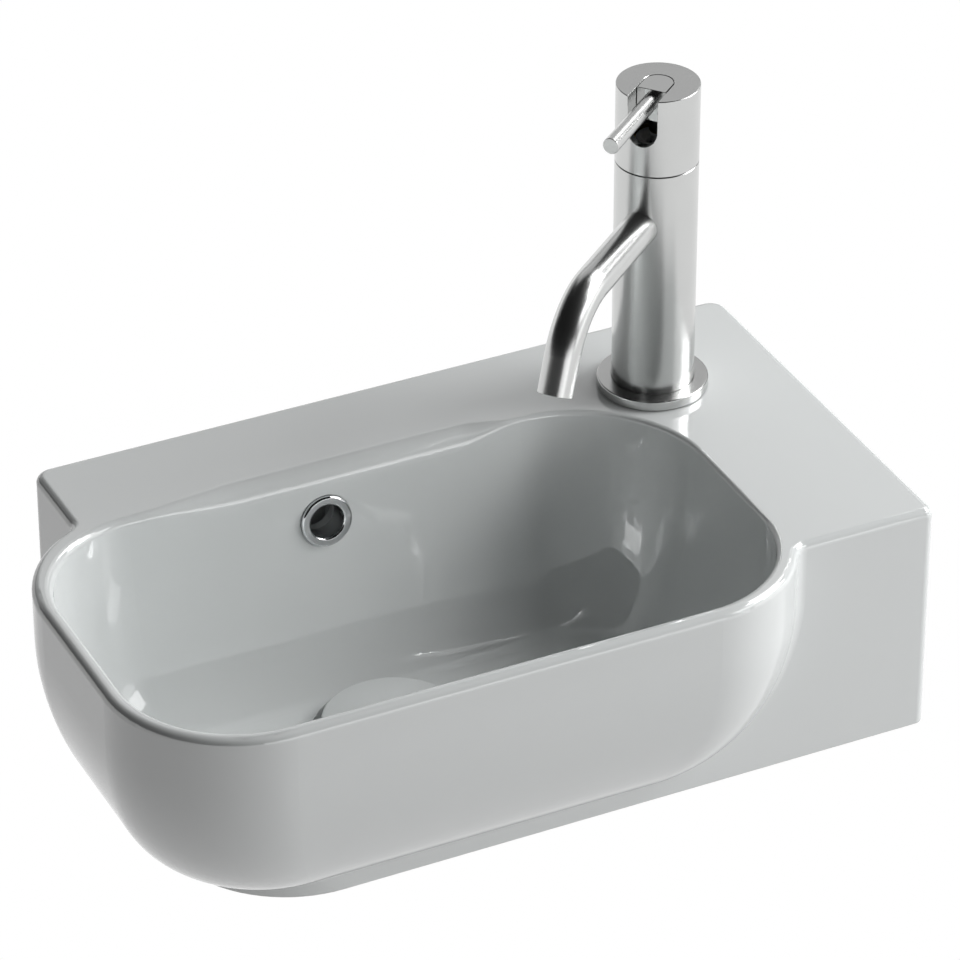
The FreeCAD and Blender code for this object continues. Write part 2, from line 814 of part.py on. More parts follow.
def spout_direction():
    bend = math.radians(spout_bend_angle)
    return Vector(math.cos(bend), 0, -math.sin(bend))


def spout_path():
    """Centreline: straight out, bent down, straight to the end."""
    bend = math.radians(spout_bend_angle)
    start = Vector(spout_root, 0, spout_axis)
    bend_start = Vector(spout_straight, 0, spout_axis)

    def on_bend(angle):
        return bend_start + Vector(spout_bend_radius * math.sin(angle), 0,
                                   spout_bend_radius * (math.cos(angle) - 1))

    bend_end = on_bend(bend)
    end = bend_end + spout_direction() * spout_tail
    bend_edge = Part.Arc(bend_start, on_bend(bend / 2), bend_end).toShape()
    return [Part.makeLine(start, bend_start), bend_edge, Part.makeLine(bend_end, end)], end


def pipe(radius):
    edges, end = spout_path()
    profile = Part.Wire(Part.makeCircle(radius, Vector(spout_root, 0, spout_axis), Vector(1, 0, 0)))
    return Part.Wire(edges).makePipeShell([profile], True, False)


def spout_tube():
    """Bent tube, brazed into the body."""
    edges, end = spout_path()
    tube = pipe(spout_radius)
    mouth = [edge for edge in tube.Edges
             if all(abs((place - end).dot(spout_direction())) < same for place in edge_points(edge))]
    tube = tube.makeFillet(spout_end_round, mouth)
    return place_tap(tube.cut(pipe(spout_radius - spout_wall)))


def place_at_outlet(shape):
    """From an upright axis with the spout's end face at zero, the tube above, to the spout's end."""
    edges, end = spout_path()
    shape.rotate(Vector(0, 0, 0), Vector(0, 1, 0), spout_bend_angle - 90)
    shape.translate(end)
    return place_tap(shape)


def aerator_radius():
    return spout_radius - spout_wall - seat_gap


def aerator_housing():
    """Threaded insert inside the spout's end."""
    return place_at_outlet(ring(aerator_radius(), aerator_radius() - aerator_wall, moving_gap, aerator_length))


def aerator_screen():
    return place_at_outlet(cylinder(aerator_radius() - aerator_wall - seat_gap, aerator_screen_drop,
                                    aerator_screen_drop + aerator_screen_height))


def aerator_seal():
    return place_at_outlet(ring(aerator_radius(), aerator_radius() - aerator_wall, aerator_length,
                                aerator_length + aerator_seal_height))


def ports():
    """Place and radius of the two inlets and the outlet."""
    return [(-inlet_back, -inlet_side, inlet_bore_radius),
            (-inlet_back, inlet_side, inlet_bore_radius),
            (outlet_front, 0, outlet_bore_radius)]


def port_seals():
    """Three rubber rings between the body and the fixed disc."""
    rings = []
    for x, y, radius in ports():
        outer = radius + port_seal_lap
        rings.append(ring(outer, outer - port_seal_width, chamber_floor, disc_bottom, x, y))
    return place_tap(Part.makeCompound(rings))


def fixed_disc():
    """Ceramic disc with the two inlets and the outlet."""
    top = disc_bottom + disc_height
    shape = cylinder(disc_radius, disc_bottom, top)
    for x, y, radius in ports():
        shape = shape.cut(cylinder(radius, disc_bottom - overrun, top + overrun, x, y))
    return place_tap(shape)


def moving_disc():
    return place_tap(cylinder(slider_radius, slider_bottom, carrier_bottom, slider_front))


def disc_carrier():
    """Plastic shoe on the moving disc, with a socket for the spindle's finger."""
    shape = cylinder(slider_radius, carrier_bottom, carrier_top, slider_front)
    socket = cylinder(finger_tip_radius + moving_gap, carrier_bottom + carrier_floor, carrier_top + overrun,
                      slider_front)
    return place_tap(shape.cut(socket))


def cartridge_housing():
    """Plastic housing: the discs below, a ball seat for the spindle in its neck."""
    neck_bore = cartridge_neck_radius - cartridge_neck_wall
    seat_radius = ball_radius + ball_gap
    shape = cylinder(cartridge_radius, chamber_floor + cartridge_foot_gap, cartridge_shoulder)
    shape = shape.fuse(cylinder(cartridge_neck_radius, cartridge_shoulder, cartridge_neck_top))
    shape = shape.cut(cylinder(disc_radius + seat_gap, chamber_floor, cartridge_shoulder - cartridge_roof))
    shape = shape.cut(cylinder(neck_bore, chamber_floor, cartridge_neck_top - cartridge_head))
    shape = shape.cut(Part.makeSphere(seat_radius, Vector(0, 0, pivot_height)))
    mouth = Part.makeCone(seat_radius, seat_radius + cartridge_mouth_flare, cartridge_mouth_depth,
                          Vector(0, 0, cartridge_neck_top - cartridge_mouth_depth))
    return place_tap(shape.cut(mouth))


def cartridge_nut():
    """Brass ring nut that holds the cartridge down and carries the glide ring."""
    shape = ring(nut_radius, cartridge_neck_radius + moving_gap, cartridge_shoulder, nut_top)
    groove = ring(nut_radius + overrun, nut_radius - glide_groove_depth,
                  glide_bottom, glide_bottom + glide_height)
    return place_tap(shape.cut(groove))


def glide_ring():
    """Plastic ring on the nut that the control cap turns on."""
    return place_tap(ring(cap_bore_radius - running_gap, nut_radius - glide_groove_depth + seat_gap,
                          glide_bottom + seat_gap, glide_bottom + glide_height - seat_gap))


def lever_spindle():
    """Stem, ball and finger in one piece."""
    pivot = Vector(0, 0, pivot_height)
    lean = math.radians(finger_lean)
    down = Vector(math.sin(lean), 0, -math.cos(lean))
    shape = cylinder(stem_radius, pivot_height, tap_height - hub_socket_roof - seat_gap)
    shape = shape.fuse(Part.makeSphere(ball_radius, pivot))
    shape = shape.fuse(Part.makeCylinder(finger_radius, finger_length, pivot, down))
    return place_tap(shape.fuse(Part.makeSphere(finger_tip_radius, pivot + down * finger_length)))


def control_cap():
    """Upper part of the column, turned for temperature, with the slot that the lever tilts in."""
    bottom = tap_seam + tap_seam_gap
    shape = cylinder(tap_radius, bottom, tap_height)
    shape = shape.makeFillet(tap_edge_round, circles_of(shape, tap_radius, tap_height))
    shape = shape.makeChamfer(tap_seam_bevel, circles_of(shape, tap_radius, bottom))
    shape = shape.cut(cylinder(cap_bore_radius, bottom - overrun, tap_height - cap_roof))
    half = slot_width / 2
    slot_round = tap_height - slot_depth + half
    slot = rod_along_x(half, 0, tap_radius + overrun, slot_round)
    slot = slot.fuse(box(0, tap_radius + overrun, -half, half, slot_round, tap_height + overrun))
    slot = slot.fuse(cylinder(half, slot_round, tap_height + overrun)).removeSplitter()
    skin = slot.Shells[0]
    slotted = shape.cut(slot)
    mouth = [edge for edge in slotted.Edges
             if lies_on(edge_points(edge), skin) and lies_on(edge_points(edge), shape.Shells[0])
             and edge.BoundBox.ZMin > tap_height - cap_roof + same]
    return place_tap(slotted.makeChamfer(slot_bevel, mouth))


def lever_hub():
    """Block in the slot, flush with the cap's top, that clamps the stem and the pin."""
    half = slot_width / 2 - moving_gap
    bottom = tap_height - cap_roof + hub_bottom_gap
    shape = cylinder(half, bottom, tap_height).fuse(box(0, hub_front, -half, half, bottom, tap_height))
    shape = shape.removeSplitter()
    shape = shape.makeChamfer(slot_bevel, level_edges(shape, tap_height))
    shape = shape.cut(cylinder(stem_radius + seat_gap, bottom - overrun, tap_height - hub_socket_roof))
    return place_tap(shape.cut(rod_along_x(pin_root_radius + seat_gap, 0, hub_front + overrun, pin_axis)))


def lever_pin():
    """Round lever, screwed into the hub against the stem."""
    pin = rod_along_x(pin_radius, hub_front, pin_reach, pin_axis)
    end = [edge for edge in pin.Edges if abs(edge.BoundBox.XMin - pin_reach) < same]
    pin = pin.makeFillet(pin_end_round, end)
    return place_tap(pin.fuse(rod_along_x(pin_root_radius, stem_radius + seat_gap, hub_front, pin_axis)))


def clamp_shape(bottom, top):
    """Horseshoe under the ledge, open towards the bowl where the hoses rise."""
    radius = tap_hole_radius + clamp_lap
    hole_radius = stud_radius + clamp_hole_gap
    slot_back = stud_back - hole_radius - clamp_web
    half = clamp_slot_width / 2
    shape = cylinder(radius, bottom, top)
    shape = shape.common(box(-radius, clamp_front, -radius, radius, bottom, top))
    shape = shape.cut(box(-slot_back, radius, -half, half, bottom - overrun, top + overrun))
    return shape.cut(cylinder(hole_radius, bottom - overrun, top + overrun, -stud_back))


def clamp_rubber():
    return place_tap(clamp_shape(clamp_top, -ledge_thickness))


def clamp_plate():
    return place_tap(clamp_shape(stud_nut_top, clamp_top))


def stud_nut():
    bottom = stud_nut_top - stud_nut_height
    nut = hexagon(stud_nut_flats, bottom, stud_nut_top, -stud_back)
    bore = cylinder(stud_radius + thread_gap, bottom - overrun, stud_nut_top + overrun, -stud_back)
    return place_tap(nut.cut(bore))


def fixing_stud():
    return place_tap(cylinder(stud_radius, stud_bottom, -tap_spigot_drop + stud_depth - seat_gap, -stud_back))


pieces = (basin_body, overflow_ring, overflow_grip,
          waste_body, waste_flange_seal, waste_lower_seal, waste_washer, waste_nut,
          click_housing, click_nut, click_collar, click_stem, click_spring,
          plug_carrier, plug_seal, waste_cap,
          tap_base_gasket, tap_base_ring, tap_body,
          spout_tube, aerator_housing, aerator_screen, aerator_seal,
          port_seals, fixed_disc, moving_disc, disc_carrier,
          cartridge_housing, cartridge_nut, glide_ring,
          lever_spindle, control_cap, lever_hub, lever_pin,
          clamp_rubber, clamp_plate, stud_nut, fixing_stud)

os.makedirs("parts", exist_ok=True)
for piece in pieces:
    piece().exportStep("parts/" + piece.__name__ + ".step")
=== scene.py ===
# Looks of a wall-hung basin: the solids get their finishes here, in the order the basin is put together.
# Metres.  +X is right, +Y goes to the wall and +Z is up.
import math
import bmesh
import bpy
from mathutils import Matrix, Vector


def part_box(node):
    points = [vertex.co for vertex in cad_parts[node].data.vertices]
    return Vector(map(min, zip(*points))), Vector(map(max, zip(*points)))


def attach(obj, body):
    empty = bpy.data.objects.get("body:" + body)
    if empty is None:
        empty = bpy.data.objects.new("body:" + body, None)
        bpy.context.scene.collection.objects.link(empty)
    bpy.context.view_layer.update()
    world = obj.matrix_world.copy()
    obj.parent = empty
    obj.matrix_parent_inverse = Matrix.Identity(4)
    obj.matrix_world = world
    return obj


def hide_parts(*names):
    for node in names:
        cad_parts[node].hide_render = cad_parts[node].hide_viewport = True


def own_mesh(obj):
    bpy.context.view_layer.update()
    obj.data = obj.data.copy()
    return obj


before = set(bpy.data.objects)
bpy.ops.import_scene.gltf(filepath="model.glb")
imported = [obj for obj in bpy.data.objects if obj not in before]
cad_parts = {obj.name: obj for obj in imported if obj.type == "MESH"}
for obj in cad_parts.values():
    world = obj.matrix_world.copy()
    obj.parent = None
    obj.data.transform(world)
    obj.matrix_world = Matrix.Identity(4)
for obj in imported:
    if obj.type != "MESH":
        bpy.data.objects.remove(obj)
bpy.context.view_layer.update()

# Basin: bowl, slab and tap ledge are one slip-cast piece of vitreous china, dipped in white gloss glaze.
# The back and the foot are wiped bare before firing, where it meets the wall and the kiln shelf.
mm = 0.001


def add(tree, kind, inputs=None, **settings):
    """A new node; an input given as a socket is linked, any other is set."""
    node = tree.nodes.new(kind)
    for name, value in settings.items():
        setattr(node, name, value)
    for name, value in (inputs or {}).items():
        if isinstance(value, bpy.types.NodeSocket):
            tree.links.new(value, node.inputs[name])
        else:
            node.inputs[name].default_value = value
    return node


def mix_colour(tree, factor, first, second):
    return add(tree, "ShaderNodeMix", {0: factor, 6: first, 7: second}, data_type="RGBA").outputs[2]


def mix_value(tree, factor, first, second):
    return add(tree, "ShaderNodeMix", {0: factor, 2: first, 3: second}).outputs[0]


def maths(tree, operation, first, second=0.0):
    return add(tree, "ShaderNodeMath", {0: first, 1: second}, operation=operation).outputs[0]


def places(tree):
    """Object coordinates, the row frame's own metres."""
    return add(tree, "ShaderNodeTexCoord").outputs["Object"]


def group(name, inputs, outputs):
    """An empty shader node group whose inputs and outputs are plain values."""
    tree = bpy.data.node_groups.new(name, "ShaderNodeTree")
    for socket, value in inputs.items():
        made = tree.interface.new_socket(socket, in_out="INPUT", socket_type="NodeSocketFloat")
        made.default_value = value
    for socket in outputs:
        tree.interface.new_socket(socket, in_out="OUTPUT", socket_type="NodeSocketFloat")
    return tree, tree.nodes.new("NodeGroupInput").outputs, tree.nodes.new("NodeGroupOutput").inputs


def place_group(tree, made, **inputs):
    """The outputs of a group placed in a tree; slow_scale sets its input "Slow scale"."""
    node = add(tree, "ShaderNodeGroup", node_tree=made)
    for name, value in inputs.items():
        node.inputs[name.replace("_", " ").capitalize()].default_value = value
    return node.outputs


def material(name, **constants):
    """A material with its Principled shader; the constants are set on the shader's own sockets."""
    made = bpy.data.materials.new(name)
    made.use_nodes = True
    shader = made.node_tree.nodes["Principled BSDF"]
    for socket, value in constants.items():
        shader.inputs[socket].default_value = value
    return made, made.node_tree, shader.inputs


def bump(tree, height, depth):
    return add(tree, "ShaderNodeBump", {"Height": height, "Distance": depth}).outputs["Normal"]


def dress(finish, *nodes):
    for name in nodes:
        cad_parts[name].material_slots[0].material = finish


def soft_mottle():
    """Slow and fine unevenness, each from 0 to 1; the scales are in cells per metre."""
    tree, given, out = group("soft_mottle", {"Slow scale": 20.0, "Fine scale": 800.0}, ["Slow", "Fine"])
    for scale, result, detail in (("Slow scale", "Slow", 2.0), ("Fine scale", "Fine", 3.0)):
        settings = {"Vector": places(tree), "Scale": given[scale], "Detail": detail}
        noise = add(tree, "ShaderNodeTexNoise", settings)
        tree.links.new(noise.outputs["Fac"], out[result])
    return tree


mottle = soft_mottle()


def glazed_china():
    glaze = ((0.736, 0.760, 0.758, 1), (0.752, 0.774, 0.771, 1))
    bare_china = ((0.74, 0.71, 0.66, 1), (0.80, 0.77, 0.72, 1))
    gloss_range, bare_roughness = (0.020, 0.035), 0.72
    ripple_share, ripple_depth = 0.35, 0.12 * mm
    wiped, wipe_wander = 0.7 * mm, 1.2 * mm
    made, tree, shader = material("glazed_china", IOR=2.1)
    cloud = place_group(tree, mottle, slow_scale=22.0, fine_scale=900.0)
    place = add(tree, "ShaderNodeSeparateXYZ", {0: places(tree)}).outputs
    wander = maths(tree, "MULTIPLY_ADD", cloud["Fine"], wipe_wander)
    wander.node.inputs[2].default_value = -wipe_wander / 2
    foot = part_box("basin_body")[0].z
    at_back = maths(tree, "GREATER_THAN", maths(tree, "ADD", place["Y"], wander), -wiped)
    at_foot = maths(tree, "LESS_THAN", maths(tree, "ADD", place["Z"], wander), foot + wiped)
    bare = maths(tree, "MAXIMUM", at_back, at_foot)
    white = mix_colour(tree, cloud["Slow"], *glaze)
    body = mix_colour(tree, cloud["Fine"], *bare_china)
    tree.links.new(mix_colour(tree, bare, white, body), shader["Base Color"])
    gloss = mix_value(tree, cloud["Slow"], *gloss_range)
    tree.links.new(mix_value(tree, bare, gloss, bare_roughness), shader["Roughness"])
    ripple = mix_value(tree, bare, maths(tree, "MULTIPLY", cloud["Slow"], ripple_share), cloud["Fine"])
    tree.links.new(bump(tree, ripple, ripple_depth), shader["Normal"])
    return made


china = glazed_china()
dress(china, "basin_body")

# Overflow: a pressed brass ring, plated and polished, pushed into the bowl's back wall.
# A soft ring round its sleeve grips the ceramic.


def polished_chrome():
    plate = ((0.74, 0.75, 0.76, 1), (0.80, 0.81, 0.82, 1))
    polish = (0.04, 0.09)
    made, tree, shader = material("polished_chrome", Metallic=1.0)
    wear = place_group(tree, mottle, slow_scale=60.0, fine_scale=2500.0)
    tree.links.new(mix_colour(tree, wear["Slow"], *plate), shader["Base Color"])
    tree.links.new(mix_value(tree, wear["Fine"], *polish), shader["Roughness"])
    return made


def soft_rubber():
    black = ((0.022, 0.022, 0.023, 1), (0.045, 0.045, 0.046, 1))
    matt, grain_depth = (0.55, 0.75), 0.03 * mm
    made, tree, shader = material("soft_rubber")
    skin = place_group(tree, mottle, slow_scale=90.0, fine_scale=3000.0)
    tree.links.new(mix_colour(tree, skin["Fine"], *black), shader["Base Color"])
    tree.links.new(mix_value(tree, skin["Slow"], *matt), shader["Roughness"])
    tree.links.new(bump(tree, skin["Fine"], grain_depth), shader["Normal"])
    return made


chrome = polished_chrome()
rubber = soft_rubber()
dress(chrome, "overflow_ring")
dress(rubber, "overflow_grip")

# Waste: a plated brass tail through the bowl's floor, drawn up by a washer and a hexagon nut underneath.
# Rubber seals it above and below the china.
weld = 0.001 * mm


def machined_brass():
    cut = ((0.60, 0.45, 0.20, 1), (0.70, 0.54, 0.26, 1))
    turned, groove_depth = (0.22, 0.40), 0.02 * mm
    made, tree, shader = material("machined_brass", Metallic=1.0)
    grain = place_group(tree, mottle, slow_scale=70.0, fine_scale=2200.0)
    tree.links.new(mix_colour(tree, grain["Slow"], *cut), shader["Base Color"])
    tree.links.new(mix_value(tree, grain["Fine"], *turned), shader["Roughness"])
    tree.links.new(bump(tree, grain["Fine"], groove_depth), shader["Normal"])
    return made


def moulded_plastic():
    resin = ((0.66, 0.66, 0.64, 1), (0.72, 0.72, 0.70, 1))
    sheen, grain_depth = (0.38, 0.52), 0.02 * mm
    made, tree, shader = material("moulded_plastic")
    skin = place_group(tree, mottle, slow_scale=80.0, fine_scale=2600.0)
    tree.links.new(mix_colour(tree, skin["Slow"], *resin), shader["Base Color"])
    tree.links.new(mix_value(tree, skin["Fine"], *sheen), shader["Roughness"])
    tree.links.new(bump(tree, skin["Fine"], grain_depth), shader["Normal"])
    return made


def make_object(name, shape, finish):
    mesh = bpy.data.meshes.new(name)
    shape.to_mesh(mesh)
    shape.free()
    mesh.materials.append(finish)
    made = bpy.data.objects.new(name, mesh)
    bpy.context.scene.collection.objects.link(made)
    return made


def stand_in(name, shape, finish, body, node):
    """Closes and smooths a shape, and shows it in the place of a node."""
    crease = math.radians(30)
    bmesh.ops.remove_doubles(shape, verts=shape.verts, dist=weld)
    bmesh.ops.holes_fill(shape, edges=[edge for edge in shape.edges if edge.is_boundary], sides=0)
    bmesh.ops.recalc_face_normals(shape, faces=shape.faces)
    for face in shape.faces:
        face.smooth = True
    for edge in shape.edges:
        edge.smooth = edge.is_manifold and edge.calc_face_angle() < crease
    made = make_object(name, shape, finish)
    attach(made, body)
    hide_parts(node)
    return made


def upright_axis(low, high):
    """The middle of a box, seen from above."""
    return Vector(((low.x + high.x) / 2, (low.y + high.y) / 2, 0))


def outline(shape, points, place):
    """A closed loop of (radius, height) points beside an upright axis."""
    corners = [shape.verts.new(place + Vector((radius, 0, height))) for radius, height in points]
    return corners + [shape.edges.new(pair) for pair in zip(corners, corners[1:] + corners[:1])]


def turn_solid(shape, points, place, steps):
    bmesh.ops.spin(shape, geom=outline(shape, points, place), cent=place, axis=(0, 0, 1), angle=math.tau,
                   steps=steps, use_merge=True)


def cut_thread(shape, root, crest, pitch, bottom, top, place, steps):
    """A ridge wound round a rod, its flanks sunk a little into the rod."""
    sink, foot, tip = 0.06 * pitch, 0.46 * pitch, 0.07 * pitch
    ridge = [(root - sink, -foot), (crest, -tip), (crest, tip), (root - sink, foot)]
    count = round((top - bottom - 2 * foot) / pitch * steps)
    bmesh.ops.spin(shape, geom=outline(shape, ridge, place + Vector((0, 0, bottom + foot))), cent=place,
                   axis=(0, 0, 1), dvec=(0, 0, pitch / steps), angle=math.tau * count / steps, steps=count)


def threaded_waste():
    """The waste's own mesh down to the nut, and below it a turned tail with its pipe thread."""
    bore, root, crest, pitch = 18.8 * mm, 19.75 * mm, 20.9 * mm, 2.31 * mm
    chamfer, tail_steps, thread_steps = 0.5 * mm, 96, 64
    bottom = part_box("waste_body")[0].z
    low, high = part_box("waste_nut")
    shoulder = low.z
    axis = upright_axis(low, high)
    shape = bmesh.new()
    shape.from_mesh(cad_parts["waste_body"].data)
    bmesh.ops.remove_doubles(shape, verts=shape.verts, dist=weld)
    cut = bmesh.ops.bisect_plane(shape, geom=shape.verts[:] + shape.edges[:] + shape.faces[:],
                                 plane_co=(0, 0, shoulder + chamfer), plane_no=(0, 0, -1), clear_outer=True)
    edges = [part for part in cut["geom_cut"] if isinstance(part, bmesh.types.BMEdge)]
    bmesh.ops.bridge_loops(shape, edges=edges)
    inside = [(bore, shoulder + 2 * chamfer), (bore, bottom + chamfer), (bore + chamfer, bottom)]
    outside = [(root - chamfer, bottom), (root, bottom + chamfer), (root, shoulder + 2 * chamfer)]
    turn_solid(shape, inside + outside, axis, tail_steps)
    cut_thread(shape, root, crest, pitch, bottom + chamfer, shoulder, axis, thread_steps)
    stand_in("threaded_waste", shape, chrome, "basin", "waste_body")


brass = machined_brass()
plastic = moulded_plastic()
threaded_waste()
dress(rubber, "waste_flange_seal", "waste_lower_seal")
dress(plastic, "waste_washer")
dress(brass, "waste_nut")

# Push-open unit: a plastic tube hung in the waste's spider with a brass rod and piston on a coil spring.
# A ring nut holds the tube from below.


def plated_steel():
    zinc = ((0.55, 0.56, 0.56, 1), (0.66, 0.67, 0.66, 1))
    dull = (0.28, 0.45)
    made, tree, shader = material("plated_steel", Metallic=1.0)
    spangle = place_group(tree, mottle, slow_scale=160.0, fine_scale=1800.0)
    tree.links.new(mix_colour(tree, spangle["Slow"], *zinc), shader["Base Color"])
    tree.links.new(mix_value(tree, spangle["Fine"], *dull), shader["Roughness"])
    return made


def spring_coil():
    """Open turns between closed end turns."""
    wire, wire_sides, steps, open_turns = 0.5 * mm, 10, 24, 6
    low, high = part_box("click_spring")
    length = high.z - low.z
    axis = upright_axis(low, high)
    radius = (high.x - low.x) / 2 - wire
    pitch = (length - 6 * wire) / open_turns
    shape = bmesh.new()
    start = Matrix.Translation(axis + Vector((radius, 0, low.z + wire)))
    place = start @ Matrix.Rotation(math.pi / 2, 4, "X")
    ring = bmesh.ops.create_circle(shape, segments=wire_sides, radius=wire, matrix=place)["verts"]
    part = ring + list({edge for corner in ring for edge in corner.link_edges})
    for turns, rise in ((1, 2 * wire), (open_turns, pitch), (1, 2 * wire)):
        part = bmesh.ops.spin(shape, geom=part, cent=axis, axis=(0, 0, 1), dvec=(0, 0, rise / steps),
                              angle=math.tau * turns, steps=turns * steps)["geom_last"]
    made = stand_in("spring_coil", shape, steel, "basin", "click_spring")
    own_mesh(made)


steel = plated_steel()
dress(plastic, "click_housing", "click_collar")
dress(brass, "click_nut", "click_stem")
spring_coil()

# Waste plug: a white glazed dome on a plastic holder with a flat rubber seal.
# The dome is glued to the holder, and the brass rod of the push-open unit carries both.
dress(china, "waste_cap")
dress(plastic, "plug_carrier")
dress(rubber, "plug_seal")

# Tap foot: a turned stainless rosette round the column, over a thin black gasket.
# Both lie loose on the ledge and are held down by the tap's fixing.


def satin_steel(name, smooth, rough, depth):
    """Stainless steel between two roughnesses, with a fine grain of a depth."""
    metal = ((0.575, 0.580, 0.575, 1), (0.625, 0.630, 0.625, 1))
    made, tree, shader = material(name, Metallic=1.0)
    grain = place_group(tree, mottle, slow_scale=45.0, fine_scale=1900.0)
    tree.links.new(mix_colour(tree, grain["Slow"], *metal), shader["Base Color"])
    tree.links.new(mix_value(tree, grain["Fine"], smooth, rough), shader["Roughness"])
    tree.links.new(bump(tree, grain["Fine"], depth), shader["Normal"])
    return made


satin = satin_steel("satin_steel", smooth=0.21, rough=0.29, depth=0.015 * mm)
dress(rubber, "tap_base_gasket")
dress(satin, "tap_base_ring")

# Tap body and spout: a turned stainless column with a bent tube brazed in, both finely satined.
# The aerator is a plastic insert in the tube's end.
dress(satin, "tap_body", "spout_tube")


def perforated_screen():
    """Rings on spokes inside a rim, square to the outlet."""
    radius, height, web = 5.68 * mm, 1.6 * mm, 0.18 * mm
    spokes, rings, steps = 12, (1.2 * mm, 2.6 * mm, 3.9 * mm), 64
    corners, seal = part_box("aerator_screen"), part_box("aerator_seal")
    centre = (corners[0] + corners[1]) / 2
    way_out = centre - (seal[0] + seal[1]) / 2
    shape = bmesh.new()
    hoops = [(radius - 2 * web, 2 * web, height / 2)] + [(at, web, height / 3) for at in rings]
    for middle, half, tall in hoops:
        inside, outside = middle - half, middle + half
        turn_solid(shape, [(inside, -tall), (outside, -tall), (outside, tall), (inside, tall)], Vector(), steps)
    moved = Matrix.Translation(((rings[0] + radius) / 2 - web, 0, 0))
    sized = Matrix.Diagonal((radius - rings[0] - web, 2 * web, height / 2, 1))
    for i in range(spokes):
        turned = Matrix.Rotation(math.tau * i / spokes, 4, "Z")
        bmesh.ops.create_cube(shape, size=1.0, matrix=turned @ moved @ sized)
    place = Matrix.Translation(centre) @ way_out.to_track_quat("Z", "Y").to_matrix().to_4x4()
    bmesh.ops.transform(shape, matrix=place, verts=shape.verts)
    stand_in("perforated_screen", shape, plastic, "basin", "aerator_screen")


dress(plastic, "aerator_housing")
perforated_screen()
dress(rubber, "aerator_seal")

# Cartridge: two lapped ceramic discs in a plastic housing, the upper one in a carrier that slides.
# A brass ring nut holds it down in the body, and a plated spindle reaches up to the lever.


def lapped_alumina():
    fired = ((0.78, 0.76, 0.71, 1), (0.86, 0.84, 0.80, 1))
    lapped = (0.18, 0.30)
    made, tree, shader = material("lapped_alumina")
    grain = place_group(tree, mottle, slow_scale=120.0, fine_scale=2800.0)
    tree.links.new(mix_colour(tree, grain["Slow"], *fired), shader["Base Color"])
    tree.links.new(mix_value(tree, grain["Fine"], *lapped), shader["Roughness"])
    return made


dress(rubber, "port_seals")
dress(lapped_alumina(), "fixed_disc", "moving_disc")
dress(plastic, "disc_carrier", "cartridge_housing", "glide_ring")
dress(brass, "cartridge_nut")
dress(chrome, "lever_spindle")

# Control cap and lever: the upper part of the column, turned and satined, turns on the body.
# A pin screwed into a finely milled block in its slot tilts with the spindle.
milled = satin_steel("milled_steel", smooth=0.05, rough=0.09, depth=0.002 * mm)
dress(satin, "control_cap", "lever_pin")
dress(milled, "lever_hub")

# Tap fixing: a pressed steel horseshoe plate and its rubber pad under the ledge.
# A brass nut on a threaded steel stud draws them up against the china.
dress(rubber, "clamp_rubber")
dress(steel, "clamp_plate")


def threaded_stud():
    root, crest, pitch, chamfer = 2.45 * mm, 3.0 * mm, 1.0 * mm, 0.6 * mm
    rod_steps, thread_steps = 32, 24
    low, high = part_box("fixing_stud")
    axis = upright_axis(low, high)
    shape = bmesh.new()
    rod = [(0.0, low.z), (root - chamfer, low.z), (root, low.z + chamfer), (root, high.z - chamfer),
           (root - chamfer, high.z), (0.0, high.z)]
    turn_solid(shape, rod, axis, rod_steps)
    cut_thread(shape, root, crest, pitch, low.z + chamfer, high.z - chamfer, axis, thread_steps)
    stand_in("threaded_stud", shape, steel, "basin", "fixing_stud")


threaded_stud()
dress(brass, "stud_nut")

# Studio: a white floor as far below the basin as a real one, and a dark room with a white horizon.
# Softboxes stand mainly on the right, with weak ones behind and in front.
floor_drop = 0.85
floor_radius = 20.0
floor_sides = 96


def seen_directly(tree):
    """1 for what the camera sees, mirrored or through glass too, and 0 for light that the thing gives off."""
    ray = add(tree, "ShaderNodeLightPath").outputs
    mirrored = maths(tree, "MAXIMUM", ray["Is Glossy Ray"], ray["Is Transmission Ray"])
    return maths(tree, "MAXIMUM", ray["Is Camera Ray"], mirrored)


def pale_floor():
    """White to look at, grey paper as a giver of light, and clear from below."""
    made = bpy.data.materials.new("pale_floor")
    made.use_nodes = True
    tree = made.node_tree
    tree.nodes.clear()
    paper = add(tree, "ShaderNodeBsdfDiffuse", {"Color": (0.6, 0.6, 0.6, 1)}).outputs[0]
    white = add(tree, "ShaderNodeEmission", {"Color": (1, 1, 1, 1), "Strength": 1.0}).outputs[0]
    top = add(tree, "ShaderNodeMixShader", {0: seen_directly(tree), 1: paper, 2: white}).outputs[0]
    below = add(tree, "ShaderNodeNewGeometry").outputs["Backfacing"]
    clear = add(tree, "ShaderNodeBsdfTransparent").outputs[0]
    surface = add(tree, "ShaderNodeMixShader", {0: below, 1: top, 2: clear}).outputs[0]
    add(tree, "ShaderNodeOutputMaterial", {"Surface": surface})
    return made


disc = bmesh.new()
bmesh.ops.create_circle(disc, cap_ends=True, segments=floor_sides, radius=floor_radius,
                        matrix=Matrix.Translation((0, 0, -floor_drop)))
make_object("floor", disc, pale_floor())


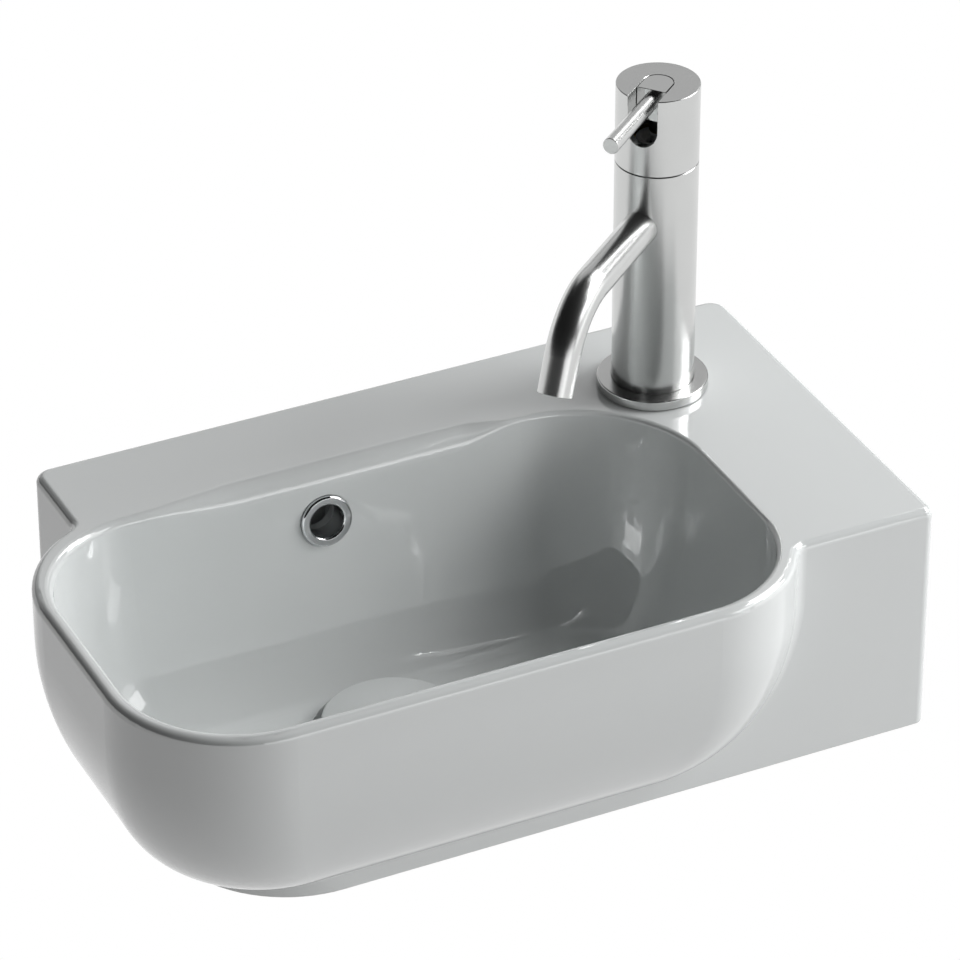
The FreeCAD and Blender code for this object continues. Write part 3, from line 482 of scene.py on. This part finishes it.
def softbox(name, bearing, height, width, tall, glow, mirrored=True):
    """A lamp turned to the basin; bearing, from +X towards +Y, and height in degrees, glow its brightness."""
    reach = 2.2
    target = Vector((0, -0.1, 0.03))
    lamp = bpy.data.lights.new(name, "AREA")
    lamp.shape = "RECTANGLE"
    lamp.size = width
    lamp.size_y = tall
    lamp.energy = math.pi * width * tall * glow
    turn, rise = math.radians(bearing), math.radians(height)
    out = Vector((math.cos(turn) * math.cos(rise), math.sin(turn) * math.cos(rise), math.sin(rise)))
    holder = bpy.data.objects.new(name, lamp)
    holder.location = target + out * reach
    holder.rotation_euler = out.to_track_quat("Z", "Y").to_euler()
    holder.visible_glossy = mirrored
    bpy.context.scene.collection.objects.link(holder)


softbox("right_front", bearing=-26, height=12, width=1.9, tall=0.9, glow=0.9)
softbox("right_front_wash", bearing=-44, height=12, width=1.1, tall=0.9, glow=4.1, mirrored=False)
softbox("right", bearing=-12, height=31, width=1.0, tall=0.7, glow=10.5)
softbox("right_corner", bearing=-40, height=31, width=0.8, tall=0.6, glow=2.4)
softbox("right_high", bearing=8, height=47, width=1.6, tall=0.6, glow=5.4)
softbox("right_back", bearing=30, height=31, width=1.2, tall=0.6, glow=0.6)
softbox("back_fill", bearing=65, height=35, width=1.6, tall=1.1, glow=0.62)
softbox("wall_fill", bearing=95, height=15, width=2.4, tall=1.05, glow=0.35)
softbox("front_fill", bearing=-80, height=11, width=1.5, tall=0.7, glow=1.2)


def dim_room():
    """Dark with a white horizon to look at or mirrored, and an even grey as a giver of light."""
    dark, white, fill = (0.012, 0.012, 0.012, 1), (1, 1, 1, 1), (0.09, 0.09, 0.09, 1)
    white_below, dark_above = 0.09, 0.16
    room = bpy.data.worlds.new("room")
    room.use_nodes = True
    tree = room.node_tree
    skyward = add(tree, "ShaderNodeTexCoord").outputs["Generated"]
    rise = add(tree, "ShaderNodeSeparateXYZ", {0: skyward}).outputs["Z"]
    band = {"Value": rise, "From Min": dark_above, "From Max": white_below}
    horizon = add(tree, "ShaderNodeMapRange", band).outputs[0]
    seen = mix_colour(tree, horizon, dark, white)
    glow = mix_colour(tree, seen_directly(tree), fill, seen)
    tree.links.new(glow, tree.nodes["Background"].inputs["Color"])
    return room


bpy.context.scene.world = dim_room()

# Camera: a long lens from the front left and above, as the photograph was taken.
# Its place and lens were fitted to the edges of the basin and the tap.
aim = Vector((0.0169, -0.0721, 0.0260))
azimuth = math.radians(-25.927)
elevation = math.radians(32.548)
distance = 2.530
lens = bpy.data.cameras.new("camera")
lens.lens = 199.04
lens.sensor_width = 36.0
camera = bpy.data.objects.new("camera", lens)
back = Vector((math.sin(azimuth) * math.cos(elevation), -math.cos(azimuth) * math.cos(elevation),
               math.sin(elevation)))
camera.location = aim + back * distance
camera.rotation_euler = (math.pi / 2 - elevation, 0, azimuth)
bpy.context.scene.collection.objects.link(camera)
bpy.context.scene.camera = camera
bpy.context.scene.view_settings.view_transform = "Standard"
